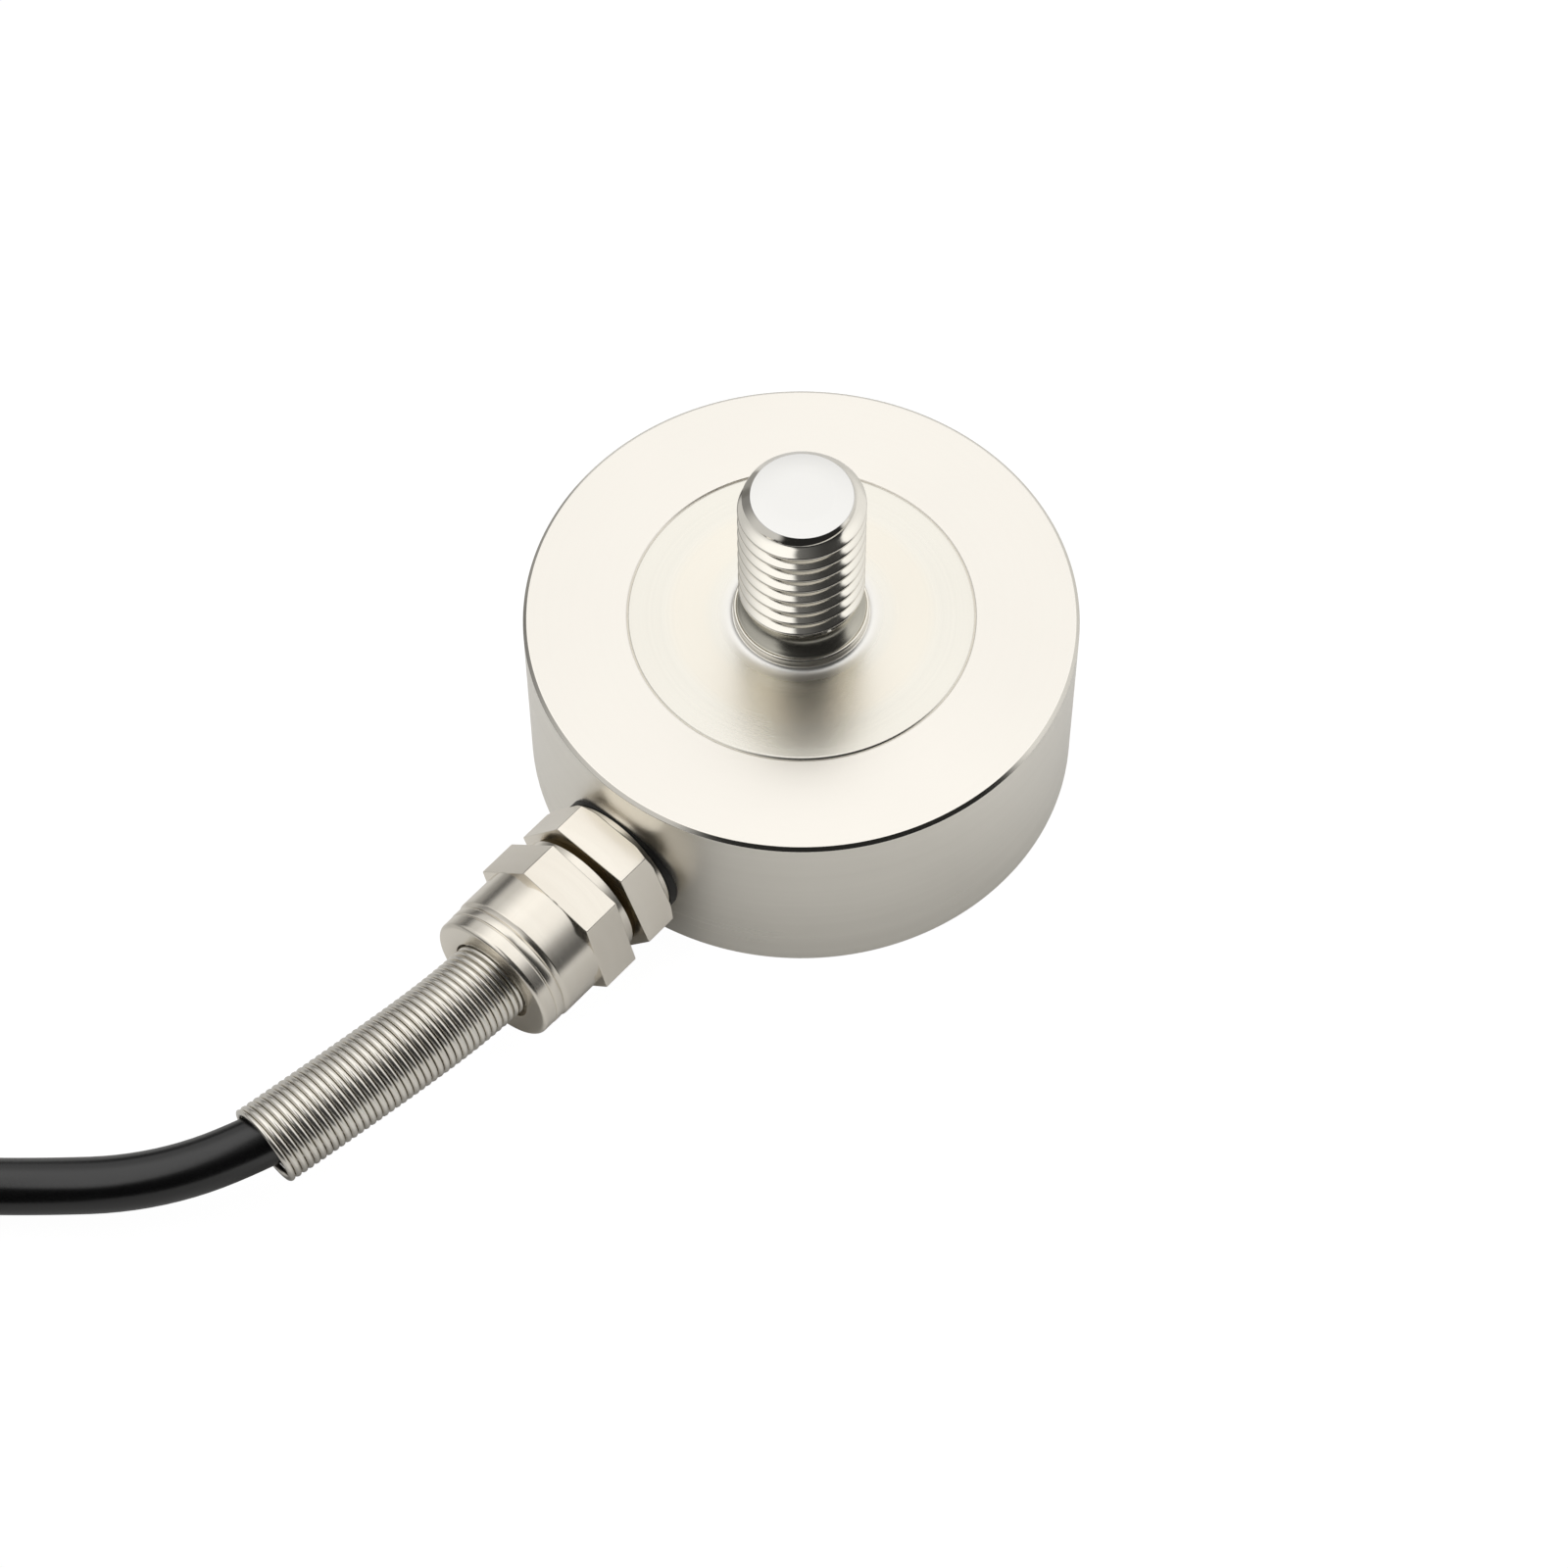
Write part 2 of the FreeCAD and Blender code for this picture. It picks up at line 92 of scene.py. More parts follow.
def coil_points():
    n = 139
    step = (COIL_LAST - COIL_TURN) / (n - 1.5)
    pts = []
    for i in range(n):
        t = min(COIL_LAST, COIL_TURN + step * i)
        rho, z = turn_at(t)
        a = math.radians(COIL_START + t)
        if i < n - 1:
            rho /= math.cos(math.radians(step / 2))      # the line runs inside its points
        pts.append((COIL_C[0] + rho * math.cos(a), COIL_C[1] + rho * math.sin(a), z))
    return pts


curve = bpy.data.curves.new("cable", "CURVE")
curve.dimensions = "3D"
spline = curve.splines.new("NURBS")
route = LEAD_ROUTE + coil_points()
spline.points.add(len(route) - 1)
for q, p in zip(spline.points, route):
    q.co = (p[0] * MM, p[1] * MM, p[2] * MM, 1.0)
spline.order_u = 3
spline.use_endpoint_u = True
spline.resolution_u = 10
cable = bpy.data.objects.new("cable", curve)
scene.collection.objects.link(cable)
curve.bevel_depth = CABLE_D / 2 * MM
curve.bevel_resolution = 8
curve.use_fill_caps = True


# ------------------------------------------------------------------ mesh helpers
def finish_mesh(name, bm, sharp=32.0):
    bmesh.ops.remove_doubles(bm, verts=bm.verts, dist=1e-7)
    bmesh.ops.dissolve_degenerate(bm, dist=1e-8, edges=bm.edges)
    bmesh.ops.recalc_face_normals(bm, faces=bm.faces)
    limit = math.radians(sharp)
    for f in bm.faces:
        f.smooth = True
    for e in bm.edges:
        if len(e.link_faces) == 2:
            e.smooth = e.calc_face_angle(0.0) < limit
    me = bpy.data.meshes.new(name)
    bm.to_mesh(me)
    bm.free()
    ob = bpy.data.objects.new(name, me)
    scene.collection.objects.link(ob)
    return ob


def rows_mesh(rows, closed=True, cap_first=False, cap_last=False):
    """Quads between rows of points, each row a closed ring; points in millimetres."""
    rows = [np.asarray(r, float) for r in rows]
    n = len(rows[0])
    verts = np.concatenate(rows) * MM
    bm = bmesh.new()
    vs = [bm.verts.new(v) for v in verts]
    m = len(rows)
    pairs = [(j, j + 1) for j in range(m - 1)] + ([(m - 1, 0)] if closed else [])
    for a, b in pairs:
        for i in range(n):
            k = (i + 1) % n
            quad = (vs[a * n + i], vs[a * n + k], vs[b * n + k], vs[b * n + i])
            try:
                bm.faces.new(quad)
            except ValueError:
                pass
    if cap_first:
        bm.faces.new(vs[:n])
    if cap_last:
        bm.faces.new(vs[(m - 1) * n:])
    return bm


def ring_z(r, z, n):
    a = np.arange(n) * 2 * math.pi / n
    return np.stack([r * np.cos(a), r * np.sin(a), np.full(n, float(z))], 1)


def ring_gland(r, s, psi):
    """Points at radius r and distance s along the gland, at the angles psi from the top."""
    r, s = np.broadcast_to(r, psi.shape), np.broadcast_to(s, psi.shape)
    return np.stack([-s, -r * np.sin(psi), GLAND_Z + r * np.cos(psi)], 1)


def arc(cx, cy, r, a0, a1, n):
    return [(cx + r * math.cos(math.radians(a)), cy + r * math.sin(math.radians(a))) for a in np.linspace(a0, a1, n)]


# ------------------------------------------------------------------ sensor body with its stud
SEG = 240
R, H = 26.5, 20.0
SEAM_R, SEAM_V = 16.56, 0.13
PITCH, CREST, ROOT = 1.75, 6.0, 4.927
STUD_TOP, DISC_R = 39.0, 4.83
NECK_R, FLARE_R, NECK_LOW = 4.95, 6.08, 22.6
COLLAR_R, COLLAR_TOP = 6.48, 21.37
CREST_Z = 23.90                # height of a crest on the +X side

def flare(z):
    """Radius of the flare between the collar and the thread's end."""
    down = np.maximum(23.05 - z, 0.0) / 1.68
    return NECK_R + (FLARE_R - NECK_R) * down ** 2.0 - 0.2 * np.maximum(z - 23.05, 0.0)


below = []                     # from the hub's underside round to the neck
below += [(0.0, 11.0), (6.0, 11.0), (6.5, 11.5), (6.5, 12.6)]
below += arc(7.5, 12.6, 1.0, 180, 90, 5)[1:]
below += [(16.2, 13.6)] + arc(16.2, 12.6, 1.0, 90, 0, 5)[1:]
below += [(17.2, 2.5), (18.6, 2.5), (18.6, 0.25), (18.85, 0.0), (26.25, 0.0)]
below += arc(26.27, 0.23, 0.23, -80, -10, 3) + [(R, 0.26), (R, 0.40)]
below += [(R, 19.54), (R, 19.65), (R - 0.008, 19.668), (R - 0.03, 19.69), (R - 0.31, 19.97), (R - 0.332, 19.992), (R - 0.36, H), (R - 0.5, H)]
below += [(SEAM_R + SEAM_V + 0.14, H), (SEAM_R + SEAM_V + 0.02, H), (SEAM_R + SEAM_V - 0.01, H - 0.012), (SEAM_R, H - SEAM_V), (SEAM_R, 19.2), (15.6, 19.2)]
below += [(15.6, 16.6)] + arc(14.6, 16.6, 1.0, 0, -90, 5)[1:]
below += [(9.0, 15.6)] + arc(9.0, 16.6, 1.0, -90, -180, 5)[1:]
below += [(8.0, 19.2), (COLLAR_R, 19.2), (COLLAR_R, COLLAR_TOP - 0.2)]
below += arc(COLLAR_R - 0.18, COLLAR_TOP - 0.18, 0.18, 10, 80, 4) + [(FLARE_R + 0.16, COLLAR_TOP), (FLARE_R + 0.06, COLLAR_TOP - 0.05), (FLARE_R, COLLAR_TOP - 0.02)]
below += [(float(flare(z)), z) for z in (21.42, 21.6, 21.8, 22.0, 22.2, 22.4, NECK_LOW)]

THREAD = [(0.00, ROOT), (0.06, ROOT + 0.004), (0.10, ROOT + 0.03), (0.135, ROOT + 0.10), (0.22, ROOT + 0.365), (0.32, ROOT + 0.69),
          (0.405, CREST - 0.10), (0.43, CREST - 0.035), (0.455, CREST - 0.006), (0.50, CREST), (0.545, CREST - 0.006),
          (0.57, CREST - 0.035), (0.595, CREST - 0.10), (0.68, ROOT + 0.69), (0.78, ROOT + 0.365), (0.865, ROOT + 0.10),
          (0.90, ROOT + 0.03), (0.94, ROOT + 0.004)]
TU = np.array([u for u, r in THREAD] + [1.0])
TR = np.array([r for u, r in THREAD] + [ROOT])


def thread_radius(theta, z):
    u = (z - CREST_Z) / PITCH - theta / (2 * math.pi) + 0.5
    r = np.interp(u - np.floor(u), TU, TR)
    cap = NECK_R + (z - 23.25)                                       # run-out at the neck
    h = np.clip(0.5 + (cap - r) / 0.8, 0.0, 1.0)
    r = cap * (1 - h) + r * h - 0.4 * h * (1 - h)
    h = np.clip(0.5 + (r - flare(z)) / 0.5, 0.0, 1.0)
    r = flare(z) * (1 - h) + r * h + 0.25 * h * (1 - h)
    return np.minimum(r, DISC_R + (STUD_TOP - 0.06 - z) * 1.0)       # bevel at the end


def build_body():
    bm = bmesh.new()
    th = np.arange(SEG) * 2 * math.pi / SEG
    grid = []

    def add_ring(points):
        grid.append([bm.verts.new(p) for p in points * MM])
        return grid[-1]

    def quads(a, b):
        for i in range(SEG):
            k = (i + 1) % SEG
            bm.faces.new((a[i], a[k], b[k], b[i]))

    pole = bm.verts.new((0, 0, 11.0 * MM))
    prev = None
    for r, z in below[1:]:
        ring = add_ring(ring_z(r, z, SEG))
        if prev is None:
            for i in range(SEG):
                bm.faces.new((pole, ring[(i + 1) % SEG], ring[i]))
        else:
            quads(prev, ring)
        prev = ring
    # helical rows: each follows one line of the thread's profile round the stud
    z_low, z_high = NECK_LOW, STUD_TOP - 0.06
    turns = int(math.ceil((z_high - z_low) / PITCH)) + 2
    m = len(THREAD)
    first = math.floor((z_low - CREST_Z) / PITCH) - 1
    rows = []
    for j in range((turns + 2) * m):
        u = first + j // m + THREAD[j % m][0]
        z = CREST_Z + PITCH * (u - 0.5 + th / (2 * math.pi))
        z = np.clip(z, z_low, z_high)
        r = thread_radius(th, z)
        pts = np.stack([r * np.cos(th), r * np.sin(th), z], 1) * MM
        rows.append([bm.verts.new(p) for p in pts])
    for j in range(len(rows) - 1):
        for i in range(SEG - 1):
            bm.faces.new((rows[j][i], rows[j][i + 1], rows[j + 1][i + 1], rows[j + 1][i]))
        if j + 1 + m < len(rows):
            bm.faces.new((rows[j][SEG - 1], rows[j + m][0], rows[j + 1 + m][0], rows[j + 1][SEG - 1]))
    # end disc
    rim = add_ring(ring_z(DISC_R - 0.05, STUD_TOP - 0.006, SEG))
    disc = add_ring(ring_z(DISC_R - 0.09, STUD_TOP, SEG))
    top_edge = add_ring(ring_z(DISC_R, z_high, SEG))
    quads(top_edge, rim)
    quads(rim, disc)
    mid = add_ring(ring_z(DISC_R * 0.5, STUD_TOP, SEG))
    quads(disc, mid)
    tip = bm.verts.new((0, 0, STUD_TOP * MM))
    for i in range(SEG):
        bm.faces.new((mid[i], mid[(i + 1) % SEG], tip))
    return bm


def cylinder(bm, centre, axis, r0, r1, length, n=48):
    axis = Vector(axis).normalized()
    q = Vector((0, 0, 1)).rotation_difference(axis)
    lo, hi = [], []
    for i in range(n):
        a = 2 * math.pi * i / n
        d = Vector((math.cos(a), math.sin(a), 0))
        lo.append(bm.verts.new((Vector(centre) + q @ (d * r0)) * MM))
        hi.append(bm.verts.new((Vector(centre) + q @ (d * max(r1, 1e-3) + Vector((0, 0, length)))) * MM))
    for i in range(n):
        k = (i + 1) % n
        bm.faces.new((lo[i], lo[k], hi[k], hi[i]))
    bm.faces.new(list(reversed(lo)))
    bm.faces.new(hi)


def cut(ob, cutters):
    """Takes the cutters' space out of ob's mesh."""
    for c in cutters:
        mod = ob.modifiers.new("cut", "BOOLEAN")
        mod.operation, mod.solver, mod.object = "DIFFERENCE", "EXACT", c
    bpy.context.view_layer.update()
    me = bpy.data.meshes.new_from_object(ob.evaluated_get(bpy.context.evaluated_depsgraph_get()))
    ob.modifiers.clear()
    old, ob.data = ob.data, me
    bpy.data.meshes.remove(old)
    for c in cutters:
        bpy.data.objects.remove(c)
    bm = bmesh.new()
    bm.from_mesh(me)
    for f in bm.faces:
        f.smooth = True
    limit = math.radians(32.0)
    for e in bm.edges:
        if len(e.link_faces) == 2:
            e.smooth = e.calc_face_angle(0.0) < limit
    bm.to_mesh(me)
    bm.free()


body = finish_mesh("load_cell_body", build_body())
cutters = []
bm = bmesh.new()
cylinder(bm, (-14.0, 0, GLAND_Z), (-1, 0, 0), 5.0, 5.0, 15.0)
cutters.append(finish_mesh("cut_port", bm))
for k in range(4):
    a = math.radians(45 + 90 * k)
    x, y = 22.0 * math.cos(a), 22.0 * math.sin(a)
    bm = bmesh.new()
    profile = [(0.0, -1.0), (2.3, -1.0), (2.3, 0.0), (2.0, 0.3), (2.0, 8.0), (0.0, 9.2)]
    rows = [ring_z(max(r, 1e-4), z, 40) + np.array([x, y, 0]) for r, z in profile]
    bm.free()
    bm = rows_mesh(rows, closed=False)
    cutters.append(finish_mesh("cut_hole", bm))
cut(body, cutters)

# ------------------------------------------------------------------ top seal plate
plate_profile = [(COLLAR_R, 19.2), (SEAM_R, 19.2), (SEAM_R, H - SEAM_V), (SEAM_R - SEAM_V + 0.01, H - 0.012), (SEAM_R - SEAM_V - 0.02, H), (SEAM_R - SEAM_V - 0.14, H), (12.0, H), (7.6, H), (7.35, H)]
plate_profile += [(7.15, H + 0.005), (6.96, H + 0.03), (6.81, H + 0.07), (6.69, H + 0.13), (6.61, H + 0.22), (6.57, H + 0.30), (6.55, H + 0.32), (COLLAR_R, H + 0.32)]
plate = finish_mesh("seal_plate", rows_mesh([ring_z(r, z, SEG) for r, z in plate_profile]))

# ------------------------------------------------------------------ gland
AF = 14.0
APO, RC = AF / 2, AF / math.sqrt(3)
T30 = math.tan(math.radians(30))


def hex_angles(turn, fillet=0.16, flat=22, corner=7):
    """Angles and radii of a hexagon with slightly rounded corners; flats face turn + 60 k degrees."""
    out = []
    c = (APO - fillet) / math.cos(math.pi / 6)
    edge = math.atan2((APO - fillet) * math.tan(math.pi / 6), APO)
    for k in range(6):
        mid = math.radians(turn + 60 * k)
        for y in np.linspace(-1, 1, flat):
            y *= math.tan(edge) * APO
            out.append((mid + math.atan2(y, APO), math.hypot(APO, y)))
        cor = mid + math.pi / 6
        for a in np.linspace(-math.pi / 6, math.pi / 6, corner)[1:-1]:
            px, py = c + fillet * math.cos(a), fillet * math.sin(a)
            out.append((cor + math.atan2(py, px), math.hypot(px, py)))
    return np.array([a for a, r in out]), np.array([r for a, r in out])


# first hexagon with its two threads; only the corners on the body's side are bevelled
psi, h = hex_angles(5.8)
S0, S1, SOFT = 27.33, 31.14, 0.05
bevel = S0 + np.maximum(h - 7.45, 0) * T30
rows = [ring_gland(2.85, 20.5, psi), ring_gland(4.5, 20.5, psi), ring_gland(5.0, 21.0, psi), ring_gland(5.0, S0, psi), ring_gland(6.7, S0, psi)]
rows += [ring_gland(np.minimum(h, 7.45) - 0.14, S0, psi), ring_gland(h - 0.10, bevel, psi), ring_gland(h, bevel + 0.10, psi), ring_gland(h, bevel + 0.18, psi)]
rows += [ring_gland(h, S1 - SOFT - 0.08, psi), ring_gland(h, S1 - SOFT, psi), ring_gland(h - SOFT, S1, psi), ring_gland(6.2, S1, psi), ring_gland(5.9, S1 + 0.02, psi)]
for k in range(3):
    s = 31.2 + 0.75 * k
    rows += [ring_gland(5.45, s + 0.1, psi), ring_gland(5.88, s + 0.42, psi), ring_gland(5.9, s + 0.5, psi), ring_gland(5.88, s + 0.58, psi)]
rows += [ring_gland(5.45, 33.4, psi), ring_gland(5.45, 36.4, psi), ring_gland(4.6, 36.5, psi), ring_gland(4.6, 33.0, psi), ring_gland(2.85, 33.0, psi)]
gland_body = finish_mesh("gland_hexagon", rows_mesh(rows), 28)

# nut: round shoulder, hexagon, sleeve with a wide and a fine groove, rounded end collar
psi, h = hex_angles(14.25)
SH, SL, S0, S1 = 6.55, 6.98, 32.85, 36.93
rows = [ring_gland(6.2, 31.77, psi), ring_gland(SH - 0.06, 31.77, psi), ring_gland(SH, 31.83, psi), ring_gland(SH, S0 - 0.02, psi), ring_gland(SH + 0.02, S0, psi)]
rows += [ring_gland(h - SOFT, S0, psi), ring_gland(h, S0 + SOFT, psi), ring_gland(h, S0 + SOFT + 0.08, psi), ring_gland(h, S1 - SOFT - 0.08, psi), ring_gland(h, S1 - SOFT, psi), ring_gland(np.maximum(h - SOFT, SL + 0.004), S1, psi)]
sleeve = [(SL, S1 + 0.01), (SL, S1 + 0.1), (SL, 41.02), (SL, 41.12), (SL - 0.012, 41.17), (SL - 0.32, 41.47), (SL - 0.33, 41.50), (SL - 0.32, 41.54), (SL - 0.13, 41.82), (SL - 0.12, 41.87),
          (SL - 0.12, 42.53), (SL - 0.13, 42.56), (SL - 0.23, 42.63), (SL - 0.23, 42.68), (SL - 0.17, 42.76), (SL - 0.16, 42.80), (SL - 0.16, 42.88), (SL - 0.16, 43.80), (SL - 0.16, 43.86)]
sleeve += [(r, s) for s, r in arc(43.88, SL - 0.58, 0.42, 85, 5, 7)]
sleeve += [(SL - 0.62, 44.3), (4.62, 44.3), (4.46, 44.26), (4.42, 44.18), (4.42, 43.0), (4.15, 43.0), (4.15, 39.5), (3.0, 39.5), (3.0, 38.3), (5.9, 38.3), (5.9, 32.07)]
rows += [ring_gland(r, s, psi) for r, s in sleeve]
gland_nut = finish_mesh("gland_nut_sleeve", rows_mesh(rows), 28)

# washer
psi = np.arange(180) * 2 * math.pi / 180
profile = [(5.0, 26.6), (6.48, 26.6)] + [(r, s) for s, r in arc(26.72, 6.48, 0.12, 170, 100, 4)] + [(6.6, 26.74), (6.6, 27.11)] + [(r, s) for s, r in arc(27.13, 6.40, 0.20, 80, 10, 5)] + [(6.38, 27.33), (5.0, 27.33)]
washer = finish_mesh("gland_flat_washer", rows_mesh([ring_gland(r, s, psi) for r, s in profile]))

# ------------------------------------------------------------------ spring guard
WIRE_R, WIRE_W, COIL_R, SPRING_PITCH = 0.315, 0.335, 3.815, 0.695
TURN_LAG = 0.35                # share of the bend that the turns do not lean with
SPRING_ROUTE = [
    (-39.60, 0.00, 8.03),
    (-46.14, 0.00, 8.03),
    (-57.70, 1.59, 7.90),
    (-70.38, 4.56, 6.52),
]


def build_spring():
    """Close-wound helix on the guard's line; its last turn tapers so that the free end lies flat across the line."""
    guide = bpy.data.curves.new("spring_line", "CURVE")
    guide.dimensions = "3D"
    spline = guide.splines.new("NURBS")
    spline.points.add(len(SPRING_ROUTE) - 1)
    for q, p in zip(spline.points, SPRING_ROUTE):
        q.co = (p[0] * MM, p[1] * MM, p[2] * MM, 1.0)
    spline.order_u = 3
    spline.use_endpoint_u = True
    spline.resolution_u = 24
    ob = bpy.data.objects.new("spring_line", guide)
    scene.collection.objects.link(ob)
    bpy.context.view_layer.update()
    me = bpy.data.meshes.new_from_object(ob.evaluated_get(bpy.context.evaluated_depsgraph_get()))
    line = np.array([v.co for v in me.vertices]) / MM
    bpy.data.meshes.remove(me)
    bpy.data.objects.remove(ob)
    bpy.data.curves.remove(guide)
    s_line = np.concatenate([[0], np.cumsum(np.linalg.norm(np.diff(line, axis=0), axis=1))])
    s_end = s_line[-1]
    last = (line[-1] - line[-2]) / np.linalg.norm(line[-1] - line[-2])
    line = np.vstack([line, line[-1] + last])                 # room for the last turn
    s_line = np.append(s_line, s_end + 1.0)
    s0, s1 = WIRE_R, s_end + 0.2 * WIRE_R
    per, ring = 48, 12
    n = int((s1 - s0) / SPRING_PITCH * per)
    s = np.linspace(s0, s1, n + 1)
    centre = np.stack([np.interp(s, s_line, line[:, c]) for c in range(3)], 1)
    k = np.gradient(line, s_line, axis=0)
    axis = np.stack([np.interp(s, s_line, k[:, c]) for c in range(3)], 1)
    axis = (1 - TURN_LAG) * axis / np.linalg.norm(axis, axis=1)[:, None] + TURN_LAG * np.array([-1.0, 0.0, 0.0])
    axis /= np.linalg.norm(axis, axis=1)[:, None]
    n1 = np.cross(axis, (0, 1, 0.2))
    n1 /= np.linalg.norm(n1, axis=1)[:, None]
    n2 = np.cross(axis, n1)
    phi = 2 * math.pi * (np.arange(n + 1) - n) / per + SPRING_TIP
    out = np.cos(phi)[:, None] * n1 + np.sin(phi)[:, None] * n2
    b = 2 * math.pi * np.arange(ring) / ring
    rows = []
    for i in range(n + 1):
        lo, hi = max(-WIRE_W, s0 - WIRE_R - s[i]), min(WIRE_W, s_end - s[i])
        along = lo + (hi - lo) * (np.sin(b) + 1) / 2
        rows.append(centre[i] + (COIL_R + WIRE_R * np.cos(b))[:, None] * out[i] + along[:, None] * axis[i])
    return rows_mesh(rows, closed=False, cap_first=True, cap_last=True)


SPRING_TIP = math.radians(318)
spring = finish_mesh("spring_coil", build_spring(), 40)


# ------------------------------------------------------------------ materials
class Nodes:
    """Short calls for building a shader tree."""

    def __init__(self, tree):
        self.t = tree

    def new(self, kind, **values):
        n = self.t.nodes.new(kind)
        for k, v in values.items():
            setattr(n, k, v)
        return n

    def put(self, socket, value):
        if isinstance(value, bpy.types.NodeSocket):
            self.t.links.new(value, socket)
        else:
            socket.default_value = value

    def math(self, op, a, b=None, c=None, clamp=False):
        n = self.new("ShaderNodeMath", operation=op, use_clamp=clamp)
        for i, v in enumerate((a, b, c)):
            if v is not None:
                self.put(n.inputs[i], v)
        return n.outputs[0]

    def ramp(self, v, lo, hi, out0=0.0, out1=1.0, smooth=True):
        n = self.new("ShaderNodeMapRange", interpolation_type="SMOOTHSTEP" if smooth else "LINEAR")
        for i, x in enumerate((v, lo, hi, out0, out1)):
            self.put(n.inputs[i], x)
        return n.outputs[0]

    def mix(self, f, a, b):
        n = self.new("ShaderNodeMix", data_type="RGBA")
        self.put(n.inputs[0], f)
        self.put(n.inputs[6], a)
        self.put(n.inputs[7], b)
        return n.outputs[2]

    def noise(self, vector=None, w=None, scale=5.0, detail=2.0, rough=0.5):
        n = self.new("ShaderNodeTexNoise", noise_dimensions="1D" if w is not None else "3D")
        if w is not None:
            self.put(n.inputs["W"], w)
        else:
            self.put(n.inputs["Vector"], vector)
        n.inputs["Scale"].default_value = scale
        n.inputs["Detail"].default_value = detail
        n.inputs["Roughness"].default_value = rough
        return n.outputs[0]

    def bump(self, height, strength, distance, normal=None):
        n = self.new("ShaderNodeBump")
        self.put(n.inputs["Height"], height)
        n.inputs["Strength"].default_value = strength
        n.inputs["Distance"].default_value = distance
        if normal is not None:
            self.put(n.inputs["Normal"], normal)
        return n.outputs[0]


def rgba(c):
    return (c[0], c[1], c[2], 1.0)


def material(name):
    m = bpy.data.materials.new(name)
    m.use_nodes = True
    b = m.node_tree.nodes["Principled BSDF"]
    n = Nodes(m.node_tree)
    pos = n.new("ShaderNodeTexCoord").outputs["Object"]
    return m, b, n, pos


def split(n, pos):
    s = n.new("ShaderNodeSeparateXYZ")
    n.put(s.inputs[0], pos)
    return s.outputs[0], s.outputs[1], s.outputs[2]


def length2(n, a, b):
    return n.math("SQRT", n.math("ADD", n.math("MULTIPLY", a, a), n.math("MULTIPLY", b, b)))


def metal(name, light, dark, rough, spread=0.05, axis="Z", ring_scale=4000.0, bump=0.05, aniso=0.0, zones=(), soft=0.04):
    """Turned or plated metal: fine rings about its axis, soft cloudy tint, uneven gloss.

    Each zone is (low radius, high radius, low end, high end, roughness, tint, share of brushing) in millimetres.
    """
    m, b, n, pos = material(name)
    x, y, z = split(n, pos)
    if axis == "Z":
        rad, along = length2(n, x, y), z
    else:
        rad, along = length2(n, y, n.math("SUBTRACT", z, GLAND_Z * MM)), x
    w = n.math("ADD", rad, n.math("MULTIPLY", along, 1.37))
    rings = n.noise(w=w, scale=ring_scale, detail=4.0, rough=0.65)
    broad = n.noise(w=w, scale=ring_scale * 0.12, detail=2.0)
    cloud = n.noise(vector=pos, scale=60.0, detail=2.0)
    tint = n.math("ADD", n.math("MULTIPLY", cloud, 0.6), n.math("MULTIPLY", broad, 0.4))
    colour = n.mix(n.ramp(tint, 0.3, 0.7), rgba(dark), rgba(light))
    g = n.math("ADD", n.math("MULTIPLY", rings, 0.5), n.math("MULTIPLY", cloud, 0.5))
    gloss = n.ramp(g, 0.25, 0.75, rough - spread, rough + spread, smooth=False)
    grain = aniso
    for r0, r1, s0, s1, zone_rough, shade, brushed in zones:
        inside = n.math("MULTIPLY", n.ramp(rad, (r0 - soft) * MM, (r0 + soft) * MM), n.ramp(rad, (r1 - soft) * MM, (r1 + soft) * MM, 1.0, 0.0))
        ends = n.math("MULTIPLY", n.ramp(along, (s0 - 0.04) * MM, (s0 + 0.04) * MM), n.ramp(along, (s1 - 0.04) * MM, (s1 + 0.04) * MM, 1.0, 0.0))
        inside = n.math("MULTIPLY", inside, ends)
        fine = n.ramp(g, 0.25, 0.75, zone_rough * 0.9, zone_rough * 1.1, smooth=False)
        gloss = n.math("ADD", gloss, n.math("MULTIPLY", inside, n.math("SUBTRACT", fine, gloss)))
        if shade:
            colour = n.mix(inside, colour, rgba(shade))
        if aniso:
            grain = n.math("ADD", grain, n.math("MULTIPLY", inside, n.math("SUBTRACT", brushed, grain)))
    n.put(b.inputs["Base Color"], colour)
    b.inputs["Metallic"].default_value = 1.0
    n.put(b.inputs["Roughness"], gloss)
    n.put(b.inputs["Normal"], n.bump(rings, bump, 0.00001))
    if aniso:
        n.put(b.inputs["Anisotropic"], grain)
        t = n.new("ShaderNodeTangent", direction_type="RADIAL", axis=axis)
        n.put(b.inputs["Tangent"], t.outputs[0])
    return m


def plastic(name, light, dark, rough, grain=3000.0, bump=0.1, specular=0.5, spread=0.06):
    """Moulded or drawn plastic and rubber: fine grain, cloudy tint, uneven gloss."""
    m, b, n, pos = material(name)
    fine = n.noise(vector=pos, scale=grain, detail=3.0)
    cloud = n.noise(vector=pos, scale=120.0, detail=2.0)
    n.put(b.inputs["Base Color"], n.mix(n.ramp(cloud, 0.3, 0.7), rgba(dark), rgba(light)))
    n.put(b.inputs["Roughness"], n.ramp(n.math("ADD", n.math("MULTIPLY", fine, 0.5), n.math("MULTIPLY", cloud, 0.5)), 0.3, 0.7, rough - spread, rough + spread, smooth=False))
    b.inputs["Specular IOR Level"].default_value = specular
    n.put(b.inputs["Normal"], n.bump(fine, bump, 0.00002))
    return m


